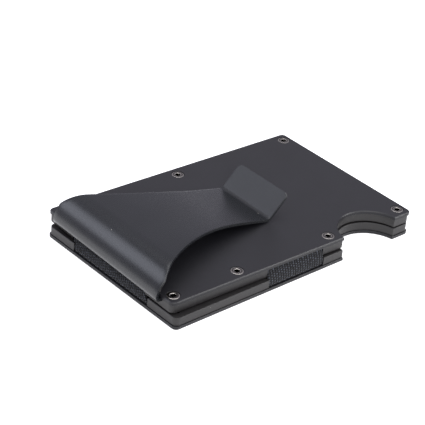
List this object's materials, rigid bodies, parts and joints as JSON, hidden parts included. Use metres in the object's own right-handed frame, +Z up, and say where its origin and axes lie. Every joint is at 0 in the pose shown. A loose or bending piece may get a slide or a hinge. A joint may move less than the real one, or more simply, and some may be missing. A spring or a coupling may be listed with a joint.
{
  "type": "card wallet",
  "caption": "Slim metal card wallet: dark anodised plates screwed into two sandwich halves, elastic straps between them, a sprung money clip on top and a round thumb notch.",
  "frame": {"origin": "centre of the flat underside, where the wallet lies on a table", "axes": "+X along the length from the clip end to the thumb notch end, +Y across from the notched long side to the other, +Z up through the plates"},
  "size_m": [0.0886, 0.056, 0.0141],
  "materials": {
    "outer_plates": "bead-blasted and black anodised",
    "inner_plates": "milled and black anodised",
    "spring_clip": "satin black coated spring steel",
    "screws": "black oxide, slightly glossy",
    "elastic": "ribbed woven elastic"
  },
  "bodies": {
    "lower_half": {"lower_outer_plate": "outer_plates", "lower_inner_plate": "inner_plates", "lower_plate_screws": "screws", "near_strap_lower_run": "elastic", "near_strap_bridge": "elastic", "far_strap_lower_run": "elastic", "far_strap_bridge": "elastic", "end_strap_lower_run": "elastic", "end_strap_bridge": "elastic"},
    "upper_half": {"upper_outer_plate": "outer_plates", "upper_inner_plate": "inner_plates", "upper_plate_screws": "screws", "clip_screws": "screws", "clip_base": "spring_clip", "near_strap_upper_run": "elastic", "far_strap_upper_run": "elastic", "end_strap_upper_run": "elastic"},
    "clip_arm": {"clip_arm": "spring_clip"}
  },
  "joints": [
    {"name": "card_slide", "type": "slide", "parent": "lower_half", "child": "upper_half", "axis": [0, 0, 1], "range_m": [0, 0.009], "stiffness_N_per_m": 600, "springref_m": -0.003, "deforming": ["near_strap_bridge", "far_strap_bridge", "end_strap_bridge"]},
    {"name": "clip_flex", "type": "hinge", "parent": "upper_half", "child": "clip_arm", "pos_m": [-0.03524, 0.00186, 0.01374], "axis": [-0.0209, -0.9998, 0], "range_deg": [0, 7], "stiffness_Nm_per_rad": 0.4, "springref_deg": -5.73}
  ]
}
